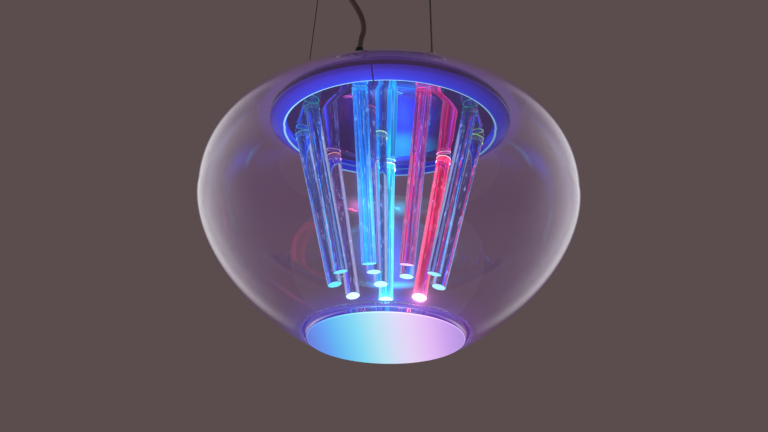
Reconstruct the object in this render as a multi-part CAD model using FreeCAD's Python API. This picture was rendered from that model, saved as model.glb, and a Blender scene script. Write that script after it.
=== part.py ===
"""Pendant lamp: a blown glass globe round twelve clear light rods that stand in a polished dish.

Millimetres, +Z up. The origin is the centre of the ceiling bracket's top face, where the lamp is fastened,
so everything hangs below z = 0. Heights of the lamp body are counted from the lip, which is the lowest
edge of the metal ring that closes the globe's neck.
"""
import FreeCAD, Part
import math
import os

from FreeCAD import Vector

# overall sizes
ceiling_to_lip = 260.0
globe_radius = 200.0
globe_equator = -84.3
globe_upper_height = 132.1
globe_upper_power = 2.36
globe_lower_height = 172.0
globe_lower_power = 1.69
globe_wall = 3.0
shoulder_radius = 140.9
rim_roll_radius = 15.0
rim_roll_end = 30.0
profile_points = 9

# diffuser disc in the globe's lower opening
disc_radius = 80.0
disc_gap = 0.6
disc_proud = 1.0
disc_flange = 6.0
disc_flange_thickness = 3.0
disc_edge = 0.6
seal_thickness = 0.8
seal_gap = 0.15

# metal ring that snaps on the base and carries the glass
ring_inner = 110.9
ring_nose = 2.9
ring_outer = 128.6
ring_face_top = 9.0
ring_height = 10.4
ring_seat = 5.8
ring_bore = 120.8
ring_bead_depth = 1.6
ring_bead_low = 7.2
ring_bead_high = 9.0
ring_seam = 0.5
ring_seam_angle = -99.0

# gasket between the ring and the glass
gasket_bore = 121.0
gasket_upstand = 3.2
gasket_top = 21.2

# polished dish
dish_radius = 500.0
dish_apex = 18.5
dish_thickness = 1.5
dish_edge = 111.5
face_slope = 9.0
brim_blend = 90.0
brim_height = 7.0

# cast base behind the dish
base_outer = 120.5
base_wall = 7.0
base_wall_top = 25.0
base_web = 4.0
led_space = 2.6
groove_clearance = 0.2
fin_count = 18
fin_thickness = 2.0
fin_inner = 24.0
fin_outer = 84.0
fin_top = 36.0
boss_radius = 4.5
boss_circle = 56.0
boss_angle = 27.0

# top cover
cover_thickness = 1.2
cover_skirt_gap = 0.1
cover_skirt_bottom = 21.6
cover_skirt_top = 27.0
cover_flat_height = 52.0
cover_flat_radius = 66.0
cover_fillet = 10.0
cover_screw_head = 3.4
cover_screw_head_height = 2.0
cover_screw_radius = 1.5
cover_screw_length = 12.0

# light rods
rod_diameter = 15.0
rod_length = 180.0
rod_focus = -405.0
rod_top_distance = 418.3
rod_bottom_distance = rod_top_distance - rod_length
outer_rods = 9
outer_rod_radius = 95.2
outer_rod_angle = -109.5
inner_rods = 3
inner_rod_radius = 35.6
inner_rod_angle = -11.9
collar_wall = 0.7
collar_grip = 4.4
collar_cap = 0.6
star_radius = 9.0
star_thickness = 1.6
star_pocket_gap = 0.3
chip_radius = 5.0
chip_thickness = 1.4
led_gap = 0.1

# suspension
wire_diameter = 1.2
wire_count = 3
wire_angle = 56.5
wire_foot_radius = 92.2
wire_foot_height = 50.0
wire_bore = 6.0
wire_lean = 4.5
wire_end = -31.0
anchor_radius = 4.5
anchor_tip = 2.0
anchor_collar = 6.5
anchor_collar_height = 2.5
anchor_hole_gap = 0.4

# ceiling canopy
canopy_radius = 92.0
canopy_depth = 32.0
canopy_wall = 1.5
canopy_fillet = 5.0
canopy_top_gap = 0.5
canopy_hole_gap = 0.4
bracket_thickness = 2.5
bracket_radius = 86.0
mains_hole_radius = 12.0
mains_hole_offset = -24.0
bracket_screw_circle = 120.0
bracket_screw_hole = 5.0
bracket_screw_angle = 90.0
tab_angle = -3.0
tab_width = 14.0
tab_length = 14.0
tab_gap = 0.35

# wire grippers, each a barrel with a sprung release nozzle
barrel_radius = 6.5
barrel_stem = 5.0
barrel_stem_bottom = -20.0
barrel_spigot = 4.0
barrel_spigot_gap = 0.4
barrel_bottom = -43.0
barrel_wall_end = 1.5
barrel_roof = -24.0
barrel_chamber = 4.2
nozzle_radius = 3.2
nozzle_proud = 5.0
nozzle_edge = 0.8
nozzle_head = 4.0
nozzle_bore = 1.5
nozzle_gap = 0.3
spring_outer = 3.7
spring_inner = 2.4

# power cord, its strain relief on the cover, its grommet in the cup and its clamp on the bracket
cord_diameter = 6.2
relief_length = 22.0
relief_root = 7.0
relief_tip = 4.3
relief_flange = 8.5
relief_flange_height = 2.0
grommet_neck = 6.0
grommet_flange = 7.5
grommet_flange_height = 1.6
grommet_gap = 0.35
clamp_width = 14.0
clamp_height = 20.0
cord_points = [
    (-34.1, -45.0, 47.0),
    (-34.1, -45.0, 82.0),
    (-29.6, -44.5, 95.0),
    (-31.4, -43.0, 110.0),
    (-37.2, -41.0, 124.0),
    (-43.6, -36.0, 137.5),
    (-50.0, -27.5, 151.0),
    (-54.6, -17.5, 165.0),
    (-56.0, -10.0, 181.0),
    (-56.0, -10.0, 240.0),
]

# electrical parts in the canopy
driver_size = (80.0, 42.0, 21.0)
driver_centre = (4.0, -38.0)
driver_fillet = 3.0
terminal_size = (24.0, 16.0, 15.0)
terminal_centre = (-34.0, 34.0)
terminal_poles = 3
terminal_pole_radius = 2.0
terminal_pole_depth = 5.0
earth_centre = (20.0, 36.0)
earth_radius = 4.5
earth_height = 6.0
earth_bore = 1.5

os.makedirs("parts", exist_ok=True)

lip = -ceiling_to_lip
axis_up = Vector(0, 0, 1)
origin = Vector(0, 0, 0)


def save(name, shape):
    """Write one piece to its own file and print its solids and volume."""
    shape.exportStep("parts/" + name + ".step")
    print("%-18s solids %2d volume %10.1f %s" % (name, len(shape.Solids), shape.Volume, shape.isValid()))


def at(radius, height, angle=0.0):
    """Point at a radius and angle round the lamp's axis, at a height above the lip."""
    a = math.radians(angle)
    return Vector(radius * math.cos(a), radius * math.sin(a), lip + height)


def line(p, q):
    """Straight edge between two points."""
    return Part.LineSegment(p, q).toShape()


def arc(p, m, q):
    """Round edge from p through m to q."""
    return Part.Arc(p, m, q).toShape()


def revolved(edges):
    """Solid made by turning a closed profile in the XZ plane round the lamp's axis."""
    face = Part.Face(Part.Wire(edges))
    solid = face.revolve(origin, axis_up, 360)
    return solid if solid.Volume > 0 else solid.reversed()


def turned(points):
    """Solid turned from a closed outline of straight edges, given as (radius, height above the lip)."""
    spots = [at(r, z) for r, z in points]
    spots.append(spots[0])
    return revolved([line(p, q) for p, q in zip(spots, spots[1:])])


def cylinder(radius, base, direction, length):
    """Round bar from a base point along a direction."""
    return Part.makeCylinder(radius, length, base, direction)


def sphere_height(radius, centre_height, sphere):
    """Height of an upper spherical cap at a radius from the axis."""
    return centre_height + math.sqrt(sphere * sphere - radius * radius)


def globe_point(height, inset):
    """Point of the globe's wall at an outer height, moved inwards along the wall's normal by inset."""
    upper = height >= globe_equator
    reach = globe_upper_height if upper else globe_lower_height
    power = globe_upper_power if upper else globe_lower_power
    part = abs(height - globe_equator) / reach
    radius = globe_radius * (1 - part ** power) ** (1 / power)
    across = (radius / globe_radius) ** (power - 1) / globe_radius
    along = part ** (power - 1) / reach
    if not upper:
        along = -along
    size = math.hypot(across, along)
    return radius - inset * across / size, height - inset * along / size


def globe_height(radius, reach, power):
    """Distance from the equator at which the outer wall has a radius."""
    return reach * (1 - (radius / globe_radius) ** power) ** (1 / power)


shoulder_height = globe_equator + globe_height(shoulder_radius, globe_upper_height, globe_upper_power)
opening_radius = disc_radius + disc_gap
opening_height = globe_equator - globe_height(opening_radius, globe_lower_height, globe_lower_power)


def wall_curve(inset):
    """Smooth curve of the globe's wall from the lower opening to the shoulder."""
    low = [0.5 - 0.5 * math.cos(math.pi * k / profile_points) for k in range(profile_points + 1)]
    heights = [opening_height + (globe_equator - opening_height) * s for s in low]
    heights += [globe_equator + (shoulder_height - globe_equator) * s for s in low[1:]]
    curve = Part.BSplineCurve()
    curve.interpolate([at(*globe_point(h, inset)) for h in heights])
    return curve


def glass_globe():
    """Blown globe with a rolled neck above and a round opening below."""
    outer = wall_curve(0.0)
    inner = wall_curve(globe_wall)
    slope = outer.tangent(outer.LastParameter)[0]
    turn = math.atan2(slope.z, -slope.x)
    end = math.radians(rim_roll_end)
    centre_r = shoulder_radius - rim_roll_radius * math.sin(turn)
    centre_z = shoulder_height - rim_roll_radius * math.cos(turn)

    def roll(angle, radius):
        return at(centre_r + radius * math.sin(angle), centre_z + radius * math.cos(angle))

    inside = rim_roll_radius - globe_wall
    middle = rim_roll_radius - globe_wall / 2
    edge = end + globe_wall / 2 / middle
    outer_end = roll(-end, rim_roll_radius)
    inner_end = roll(-end, inside)
    profile = [
        outer.toShape(),
        arc(outer.value(outer.LastParameter), roll((turn - end) / 2, rim_roll_radius), outer_end),
        arc(outer_end, roll(-edge, middle), inner_end),
        arc(inner_end, roll((turn - end) / 2, inside), inner.value(inner.LastParameter)),
        inner.toShape(),
        line(inner.value(inner.FirstParameter), outer.value(outer.FirstParameter)),
    ]
    ground_edge = cylinder(opening_radius, at(0, opening_height - globe_wall), axis_up, 4 * globe_wall)
    return revolved(profile).cut(ground_edge)


def rim_underside():
    """Height of the glass rim's lowest point, where it stands on the gasket."""
    outer = wall_curve(0.0)
    slope = outer.tangent(outer.LastParameter)[0]
    turn = math.atan2(slope.z, -slope.x)
    centre_z = shoulder_height - rim_roll_radius * math.cos(turn)
    middle = rim_roll_radius - globe_wall / 2
    return centre_z + middle * math.cos(math.radians(rim_roll_end)) - globe_wall / 2


disc_bottom = opening_height - disc_proud


def inner_wall_height(radius):
    """Height of the globe's inner wall near the lower opening at a radius."""
    low, high = opening_height, opening_height + 30.0
    for _ in range(50):
        middle = (low + high) / 2
        if globe_point(middle, globe_wall)[0] < radius:
            low = middle
        else:
            high = middle
    return globe_point(low, globe_wall)[1]


flange_radius = disc_radius + disc_flange
seal_inner = opening_radius + disc_gap


def diffuser_disc():
    """Opal disc turned from thick sheet, which plugs the lower opening and rests on its conical flange."""
    under_in = inner_wall_height(seal_inner) + seal_thickness
    under_out = inner_wall_height(flange_radius) + seal_thickness
    return turned([
        (0, disc_bottom),
        (disc_radius - disc_edge, disc_bottom),
        (disc_radius, disc_bottom + disc_edge),
        (disc_radius, under_in),
        (flange_radius, under_out),
        (flange_radius, under_out + disc_flange_thickness),
        (0, under_out + disc_flange_thickness),
    ])


def disc_seal():
    """Thin clear seal between the disc's flange and the glass."""
    low_in = inner_wall_height(seal_inner)
    low_out = inner_wall_height(flange_radius)
    return turned([
        (seal_inner, low_in + seal_gap),
        (flange_radius, low_out + seal_gap),
        (flange_radius, low_out + seal_thickness),
        (seal_inner, low_in + seal_thickness),
    ])


def retaining_ring():
    """Sprung ring with a round nose, a sloping face, an inner snap bead and one saw cut."""
    centre = (ring_inner + ring_nose, ring_nose)
    run = ring_outer - centre[0]
    rise = ring_face_top - centre[1]
    far = math.hypot(run, rise)
    tilt = math.atan2(rise, run) - math.asin(ring_nose / far)
    touch = (centre[0] + ring_nose * math.sin(tilt), centre[1] - ring_nose * math.cos(tilt))
    middle = (math.pi - (math.pi / 2 - tilt)) / 2 + (math.pi / 2 - tilt)
    nose = (centre[0] + ring_nose * math.cos(-middle), centre[1] + ring_nose * math.sin(-middle))
    outline = [
        touch,
        (ring_outer, ring_face_top),
        (ring_outer, ring_height),
        (ring_bore, ring_height),
        (ring_bore, ring_bead_high),
        (ring_bore - ring_bead_depth, ring_bead_high),
        (ring_bore - ring_bead_depth, ring_bead_low),
        (ring_bore, ring_bead_low),
        (ring_bore, ring_seat),
        (ring_inner, ring_seat),
        (ring_inner, ring_nose),
    ]
    spots = [at(r, z) for r, z in outline]
    edges = [line(p, q) for p, q in zip(spots, spots[1:])]
    edges.append(arc(spots[-1], at(*nose), spots[0]))
    ring = revolved(edges)
    cut = Part.makeBox(2 * ring_nose + ring_outer, ring_seam, 4 * ring_height)
    cut.translate(Vector(ring_inner / 2, -ring_seam / 2, lip - ring_height))
    cut.rotate(origin, axis_up, ring_seam_angle)
    return ring.cut(cut)


def glass_gasket():
    """Black gasket with a foot on the ring and an upstand that centres the glass."""
    seat = rim_underside()
    return turned([
        (gasket_bore, ring_height),
        (ring_outer, ring_height),
        (ring_outer, seat),
        (gasket_bore + gasket_upstand, seat),
        (gasket_bore + gasket_upstand, gasket_top),
        (gasket_bore, gasket_top),
    ])


dish_centre = dish_apex - dish_radius
dish_back = dish_radius + dish_thickness
base_under = dish_back + led_space
base_over = base_under + base_web
rod_radius = rod_diameter / 2
focus = at(0, rod_focus)


def rod_lines():
    """Direction from the focus along each rod, outer rods first, numbered round the lamp."""
    lines = []
    top_distance = rod_top_distance
    for count, radius, start in (
        (outer_rods, outer_rod_radius, outer_rod_angle),
        (inner_rods, inner_rod_radius, inner_rod_angle),
    ):
        tilt = math.asin(radius / top_distance)
        for k in range(count):
            a = math.radians(start + 360.0 / count * k)
            across = math.sin(tilt)
            lines.append(Vector(across * math.cos(a), across * math.sin(a), math.cos(tilt)))
    return lines


def distance_to_dome(direction, sphere):
    """Distance from the focus along a rod to a dome about the dish's centre of curvature."""
    offset = dish_centre - rod_focus
    along = direction.z * offset
    return along + math.sqrt(along * along - offset * offset + sphere * sphere)


def dome(sphere, radius):
    """Solid ball about the dish's centre, kept within a radius of the axis, above the rods."""
    ball = Part.makeSphere(sphere, at(0, dish_centre))
    column = cylinder(radius, at(0, -10), axis_up, 60)
    return ball.common(column)


def cap_profile(inner, outer, radius):
    """Edges of a domed shell's half section out to a radius."""
    def cap(sphere, r):
        return at(r, sphere_height(r, dish_centre, sphere))
    return [
        arc(cap(inner, 0), cap(inner, radius / 2), cap(inner, radius)),
        line(cap(inner, radius), cap(outer, radius)),
        arc(cap(outer, radius), cap(outer, radius / 2), cap(outer, 0)),
        line(cap(outer, 0), cap(inner, 0)),
    ]


def dish_face_profile():
    """Edges of the dish's half section: a shallow dome and a flat brim in front, a spherical back."""
    def along(angle):
        return at(dish_radius * math.sin(angle), face_apex - dish_radius * (1 - math.cos(angle)))

    def blend(angle):
        return at(brim_start - brim_blend * math.sin(angle), brim_height + brim_blend * (1 - math.cos(angle)))

    def back(r):
        return at(r, sphere_height(r, dish_centre, dish_back))

    slope = math.radians(face_slope)
    brim_start = (dish_radius + brim_blend) * math.sin(slope)
    face_apex = brim_height + (dish_radius + brim_blend) * (1 - math.cos(slope))
    return [
        arc(along(0), along(slope / 2), along(slope)),
        arc(blend(slope), blend(slope / 2), blend(0)),
        line(blend(0), at(dish_edge, brim_height)),
        line(at(dish_edge, brim_height), back(dish_edge)),
        arc(back(dish_edge), back(dish_edge / 2), back(0)),
        line(back(0), along(0)),
    ]


def reflector_dish(directions):
    """Polished dish with a raised rim and a hole for each rod socket."""
    shell = revolved(dish_face_profile())
    high = sphere_height(dish_edge + dish_thickness, dish_centre, base_under)
    low = max(ring_seat, sphere_height(dish_edge, dish_centre, dish_radius))
    rim = turned([
        (dish_edge, low),
        (dish_edge + dish_thickness, low),
        (dish_edge + dish_thickness, high),
        (dish_edge, high),
    ])
    dish = shell.fuse(rim)
    for direction in directions:
        start = focus + direction * rod_bottom_distance
        dish = dish.cut(cylinder(rod_radius, start, direction, 2 * rod_length))
    return dish.removeSplitter()


def light_base(directions):
    """Cast carrier: outer wall with the snap groove, domed web, radial fins and cover bosses."""
    inner = base_outer - base_wall
    groove_r = ring_bore - ring_bead_depth - groove_clearance
    groove_low = ring_bead_low - groove_clearance
    groove_high = ring_bead_high + groove_clearance
    wall = turned([
        (inner, ring_seat),
        (base_outer, ring_seat),
        (base_outer, groove_low),
        (groove_r, groove_low),
        (groove_r, groove_high),
        (base_outer, groove_high),
        (base_outer, base_wall_top),
        (inner, base_wall_top),
    ])
    base = wall.fuse(revolved(cap_profile(base_under, base_over, inner)))
    for k in range(fin_count):
        fin = Part.makeBox(fin_outer - fin_inner, fin_thickness, fin_top - dish_apex)
        fin.translate(Vector(fin_inner, -fin_thickness / 2, lip + dish_apex))
        fin.rotate(origin, axis_up, 360.0 / fin_count * k)
        base = base.fuse(fin)
    inside_cover = cover_flat_height - cover_thickness
    for k in range(wire_count):
        foot = at(boss_circle, dish_apex, boss_angle + 360.0 / wire_count * k)
        base = base.fuse(cylinder(boss_radius, foot, axis_up, inside_cover - dish_apex))
    base = base.cut(dome(base_under, inner))
    for direction in directions:
        base = base.cut(star_pocket(direction))
    for k in range(wire_count):
        hole = at(boss_circle, inside_cover - cover_screw_length, boss_angle + 360.0 / wire_count * k)
        base = base.cut(cylinder(cover_screw_radius, hole, axis_up, cover_screw_length))
    return base.removeSplitter()


def cover_outline(inset):
    """Half section of the cover's skin, moved inwards by inset."""
    outer = base_outer + cover_skirt_gap + cover_thickness
    run = outer - cover_flat_radius
    rise = cover_flat_height - cover_skirt_top
    tilt = math.atan2(rise, run)
    shift = inset * math.tan(tilt / 2)
    knee = inset * math.tan((math.pi / 2 - tilt) / 2)
    return [
        (outer - inset, cover_skirt_bottom),
        (outer - inset, cover_skirt_top - knee),
        (cover_flat_radius - shift, cover_flat_height - inset),
        (0, cover_flat_height - inset),
    ]


def top_cover():
    """Spun cover with a flat top, a sloping shoulder, and holes for the wire anchors and screws."""
    outside = cover_outline(0.0)
    inside = cover_outline(cover_thickness)
    cover = turned(outside + inside[::-1])
    for k in range(wire_count):
        foot = at(wire_foot_radius, 0, wire_angle + 360.0 / wire_count * k)
        cover = cover.cut(cylinder(anchor_radius + anchor_hole_gap, foot, axis_up, 2 * cover_flat_height))
        spot = at(boss_circle, cover_flat_height / 2, boss_angle + 360.0 / wire_count * k)
        cover = cover.cut(cylinder(cover_screw_radius, spot, axis_up, cover_flat_height))
    return cover


def cover_screws():
    """Three screws that hold the cover to the base's bosses."""
    screws = []
    for k in range(wire_count):
        a = boss_angle + 360.0 / wire_count * k
        shank = cylinder(
            cover_screw_radius,
            at(boss_circle, cover_flat_height - cover_thickness - cover_screw_length + 1, a),
            axis_up,
            cover_thickness + cover_screw_length - 1,
        )
        seat = at(boss_circle, cover_flat_height, a)
        head = cylinder(cover_screw_head, seat, axis_up, cover_screw_head_height)
        screws.append(shank.fuse(head))
    return Part.makeCompound(screws)


def light_rod(direction):
    """Straight clear rod with a square, polished end."""
    return cylinder(rod_radius, focus + direction * rod_bottom_distance, direction, rod_length)


def rod_collar(direction):
    """Clear sleeve round the rod's top, with a stub through the dish to its light source."""
    rod_top = rod_top_distance
    mouth = rod_top - collar_grip
    stub_end = distance_to_dome(direction, dish_back) + led_gap
    foot = focus + direction * mouth
    sleeve = cylinder(rod_radius + collar_wall, foot, direction, collar_grip + collar_cap)
    sleeve = sleeve.cut(cylinder(rod_radius, foot, direction, collar_grip))
    stub = cylinder(rod_radius, focus + direction * rod_top, direction, stub_end - rod_top)
    return sleeve.fuse(stub).removeSplitter()


def star_pocket(direction):
    """Round pocket in the base whose flat floor carries one light source's board."""
    floor = distance_to_dome(direction, dish_back) + led_gap + chip_thickness + star_thickness
    start = focus + direction * (floor - rod_radius)
    return cylinder(star_radius + star_pocket_gap, start, direction, rod_radius)


def led_discs(directions, radius, thickness, standoff):
    """Round discs behind the rods, one for each, at a distance from the stub's end."""
    discs = []
    for direction in directions:
        start = distance_to_dome(direction, dish_back) + led_gap + standoff
        discs.append(cylinder(radius, focus + direction * start, direction, thickness))
    return Part.makeCompound(discs)


def wire_line(k):
    """Foot point and upward direction of one suspension wire."""
    angle = wire_angle + 360.0 / wire_count * k
    lean = math.radians(wire_lean)
    inward = at(1, 0, angle) - at(0, 0, angle)
    direction = axis_up * math.cos(lean) - inward * math.sin(lean)
    return at(wire_foot_radius, wire_foot_height, angle), direction


def wire_at(k, z):
    """Point where one wire crosses a height below the ceiling."""
    foot, direction = wire_line(k)
    return foot + direction * ((z - foot.z) / direction.z)


def suspension_wire(k):
    """Straight steel wire from its anchor to just above its gripper."""
    foot, direction = wire_line(k)
    start = foot - direction * wire_bore
    return cylinder(wire_diameter / 2, start, direction, (wire_at(k, wire_end) - start).Length)


def wire_anchor(k):
    """Turned pillar on the base that comes through the cover and takes the wire's end."""
    foot, direction = wire_line(k)
    angle = wire_angle + 360.0 / wire_count * k
    bottom = sphere_height(wire_foot_radius, dish_centre, base_over) - base_web / 2
    shoulder = wire_foot_height - anchor_tip
    pillar = cylinder(anchor_radius, at(wire_foot_radius, bottom, angle), axis_up, shoulder - bottom)
    tip_place = at(wire_foot_radius, shoulder, angle)
    tip = Part.makeCone(anchor_radius, anchor_radius / 2, anchor_tip, tip_place)
    collar_low = cover_flat_height - (wire_foot_radius - anchor_collar - cover_flat_radius) * cover_slope()
    collar = cylinder(anchor_collar, at(wire_foot_radius, collar_low, angle), axis_up, anchor_collar_height)
    ball = Part.makeSphere(base_over, at(0, dish_centre))
    anchor = pillar.fuse([tip, collar]).cut(ball)
    bore = cylinder(wire_diameter / 2, foot - direction * wire_bore, direction, 2 * wire_bore)
    return anchor.cut(bore).removeSplitter()


def cover_slope():
    """Fall of the cover's shoulder for each millimetre outwards."""
    outer = base_outer + cover_skirt_gap + cover_thickness
    return (cover_flat_height - cover_skirt_top) / (outer - cover_flat_radius)


def gripper_places():
    """Centre of each gripper, where its wire crosses the middle of the release nozzle."""
    return [wire_at(k, barrel_bottom) for k in range(wire_count)]


def turned_at(place, points):
    """Solid turned round a vertical line through a place, with heights below the ceiling."""
    spots = [Vector(place.x + r, place.y, z) for r, z in points]
    spots.append(spots[0])
    face = Part.Face(Part.Wire([line(p, q) for p, q in zip(spots, spots[1:])]))
    solid = face.revolve(Vector(place.x, place.y, 0), axis_up, 360)
    return solid if solid.Volume > 0 else solid.reversed()


def gripper_barrel(place):
    """Brass barrel that hangs from the bracket by a riveted spigot and holds the nozzle and its spring."""
    shoulder = barrel_bottom + barrel_wall_end
    return turned_at(place, [
        (nozzle_radius + nozzle_gap, barrel_bottom),
        (barrel_radius, barrel_bottom),
        (barrel_radius, barrel_stem_bottom),
        (barrel_stem, barrel_stem_bottom),
        (barrel_stem, -bracket_thickness),
        (barrel_spigot, -bracket_thickness),
        (barrel_spigot, -barrel_spigot_gap),
        (0, -barrel_spigot_gap),
        (0, barrel_roof),
        (barrel_chamber, barrel_roof),
        (barrel_chamber, shoulder),
        (nozzle_radius + nozzle_gap, shoulder),
    ])


def gripper_plunger(place):
    """Release nozzle: a round tip below the barrel and a head inside it."""
    shoulder = barrel_bottom + barrel_wall_end + nozzle_gap
    tip = barrel_bottom - nozzle_proud
    return turned_at(place, [
        (nozzle_bore, tip),
        (nozzle_radius - nozzle_edge, tip),
        (nozzle_radius, tip + nozzle_edge),
        (nozzle_radius, shoulder),
        (barrel_chamber - nozzle_gap, shoulder),
        (barrel_chamber - nozzle_gap, shoulder + nozzle_head),
        (nozzle_bore, shoulder + nozzle_head),
    ])


def gripper_spring(place):
    """Envelope of the coil spring between the nozzle's head and the barrel's roof."""
    low = barrel_bottom + barrel_wall_end + nozzle_gap + nozzle_head
    high = barrel_roof
    outline = [(spring_inner, low), (spring_outer, low), (spring_outer, high), (spring_inner, high)]
    return turned_at(place, outline)


def hexagon(place, across, low, height, bore):
    """Hexagonal nut with a round bore."""
    corner = across / math.cos(math.pi / 6)
    spots = []
    for k in range(7):
        a = math.pi / 3 * k
        spots.append(Vector(place.x + corner * math.cos(a), place.y + corner * math.sin(a), low))
    nut = Part.Face(Part.makePolygon(spots)).extrude(Vector(0, 0, height))
    return nut.cut(cylinder(bore, Vector(place.x, place.y, low), axis_up, height))


def canopy_cup(places, entry):
    """Spun cup that hides the ceiling box and slides down over the grippers and the cord."""
    top = -canopy_top_gap
    bottom = -canopy_depth

    def outline(inset):
        r = canopy_radius - inset
        round_r = canopy_fillet - inset
        turn = round_r * (1 - math.sqrt(0.5))
        return r, round_r, bottom + inset, turn

    r0, f0, z0, t0 = outline(0.0)
    r1, f1, z1, t1 = outline(canopy_wall)
    edges = [
        line(Vector(0, 0, z0), Vector(r0 - f0, 0, z0)),
        arc(Vector(r0 - f0, 0, z0), Vector(r0 - t0, 0, z0 + t0), Vector(r0, 0, z0 + f0)),
        line(Vector(r0, 0, z0 + f0), Vector(r0, 0, top)),
        line(Vector(r0, 0, top), Vector(r1, 0, top)),
        line(Vector(r1, 0, top), Vector(r1, 0, z1 + f1)),
        arc(Vector(r1, 0, z1 + f1), Vector(r1 - t1, 0, z1 + t1), Vector(r1 - f1, 0, z1)),
        line(Vector(r1 - f1, 0, z1), Vector(0, 0, z1)),
        line(Vector(0, 0, z1), Vector(0, 0, z0)),
    ]
    cup = revolved(edges)
    for place in places:
        spot = Vector(place.x, place.y, bottom)
        cup = cup.cut(cylinder(barrel_radius + canopy_hole_gap, spot, axis_up, canopy_wall))
    return cup.cut(cylinder(grommet_neck, entry, axis_up, canopy_wall))


def ceiling_bracket(places):
    """Pressed plate with a mains hole, three fixing holes, three gripper holes and three spring tabs."""
    low = Vector(0, 0, -bracket_thickness)
    plate = cylinder(bracket_radius, low, axis_up, bracket_thickness)
    mains = low + Vector(mains_hole_offset, 0, 0)
    plate = plate.cut(cylinder(mains_hole_radius, mains, axis_up, bracket_thickness))
    for place in places:
        spot = Vector(place.x, place.y, -bracket_thickness)
        plate = plate.cut(cylinder(barrel_spigot, spot, axis_up, bracket_thickness))
    reach = canopy_radius - canopy_wall - tab_gap
    start = bracket_radius - 2 * bracket_thickness
    for k in range(wire_count):
        a = math.radians(bracket_screw_angle + 360.0 / wire_count * k)
        spot = low + Vector(math.cos(a), math.sin(a), 0) * (bracket_screw_circle / 2)
        plate = plate.cut(cylinder(bracket_screw_hole / 2, spot, axis_up, bracket_thickness))
        tab = Part.makeBox(reach - start, tab_width, bracket_thickness)
        tab.translate(Vector(start, -tab_width / 2, -bracket_thickness))
        leg = Part.makeBox(bracket_thickness, tab_width, tab_length)
        leg.translate(Vector(reach - bracket_thickness, -tab_width / 2, -tab_length))
        bent = tab.fuse(leg).common(cylinder(reach, Vector(0, 0, -tab_length), axis_up, tab_length))
        bent.rotate(origin, axis_up, tab_angle + 360.0 / wire_count * k)
        plate = plate.fuse(bent)
    return plate.removeSplitter()


def box_under_bracket(size, centre):
    """Block that hangs from the bracket's underside."""
    length, width, height = size
    corner = Vector(centre[0] - length / 2, centre[1] - width / 2, -bracket_thickness - height)
    return Part.makeBox(length, width, height, corner)


def led_driver():
    """Driver case with rounded upright edges."""
    case = box_under_bracket(driver_size, driver_centre)
    upright = [e for e in case.Edges if abs(e.tangentAt(e.FirstParameter).z) > 0.9]
    return case.makeFillet(driver_fillet, upright)


def terminal_block():
    """Terminal block with a screw well for each pole."""
    block = box_under_bracket(terminal_size, terminal_centre)
    pitch = terminal_size[0] / terminal_poles
    low = -bracket_thickness - terminal_size[2]
    for k in range(terminal_poles):
        x = terminal_centre[0] - terminal_size[0] / 2 + pitch * (k + 0.5)
        well = Vector(x, terminal_centre[1], low)
        block = block.cut(cylinder(terminal_pole_radius, well, axis_up, terminal_pole_depth))
    return block


def earth_terminal():
    """Hexagonal earth nut on the bracket's underside."""
    corner = earth_radius / math.cos(math.pi / 6)
    low = Vector(earth_centre[0], earth_centre[1], -bracket_thickness - earth_height)
    spots = []
    for k in range(7):
        a = math.pi / 3 * k
        spots.append(low + Vector(corner * math.cos(a), corner * math.sin(a), 0))
    nut = Part.Face(Part.makePolygon(spots)).extrude(Vector(0, 0, earth_height))
    return nut.cut(cylinder(earth_bore, low, axis_up, earth_height))


def cord_relief(foot):
    """Tapered strain relief with a flange on the cover, a neck through it and a nut below."""
    sleeve = Part.makeCone(relief_root, relief_tip, relief_length, foot, axis_up)
    flange = cylinder(relief_flange, foot, axis_up, relief_flange_height)
    neck_low = foot - axis_up * cover_thickness
    neck = cylinder(relief_root, neck_low, axis_up, cover_thickness)
    nut = cylinder(relief_flange, neck_low - axis_up * relief_flange_height, axis_up, relief_flange_height)
    bore = cylinder(cord_diameter / 2, foot - axis_up * relief_length, axis_up, 2 * relief_length)
    return sleeve.fuse([flange, neck, nut]).cut(bore).removeSplitter()


def cord_grommet(foot):
    """Rubber grommet in the cup's floor, bored for the cord."""
    neck = cylinder(grommet_neck, foot, axis_up, canopy_wall)
    below = cylinder(grommet_flange, foot - axis_up * grommet_flange_height, axis_up, grommet_flange_height)
    above = cylinder(grommet_flange, foot + axis_up * canopy_wall, axis_up, grommet_flange_height)
    low = foot - axis_up * grommet_flange_height
    bore = cylinder(cord_diameter / 2 + grommet_gap, low, axis_up, canopy_wall + 2 * grommet_flange_height)
    return neck.fuse([below, above]).cut(bore).removeSplitter()


def cord_clamp():
    """Block under the bracket that takes the cord's end."""
    x, y, z = cord_points[-1]
    block = box_under_bracket((clamp_width, clamp_width, clamp_height), (x, y))
    low = -bracket_thickness - clamp_height
    return block.cut(cylinder(cord_diameter / 2, Vector(x, y, low), axis_up, lip + z - low))


def cord_path():
    """Straight runs joined by tangent arcs through the cord's points, printing each radius."""
    spots = [Vector(x, y, lip + z) for x, y, z in cord_points]
    edges = []
    start = spots[0]
    for before, corner, after in zip(spots, spots[1:], spots[2:]):
        u = (corner - before).normalize()
        v = (after - corner).normalize()
        turn = math.acos(max(-1, min(1, u.dot(v))))
        reach = 0.45 * min((corner - before).Length, (after - corner).Length)
        radius = reach / math.tan(turn / 2)
        enter = corner - u * reach
        leave = corner + v * reach
        bisector = (v - u).normalize()
        middle = corner + bisector * (radius / math.cos(turn / 2) - radius)
        edges.append(line(start, enter))
        edges.append(arc(enter, middle, leave))
        start = leave
        print("cord turn %5.1f degrees, radius %6.1f" % (math.degrees(turn), radius))
    edges.append(line(start, spots[-1]))
    return Part.Wire(edges)


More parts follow.
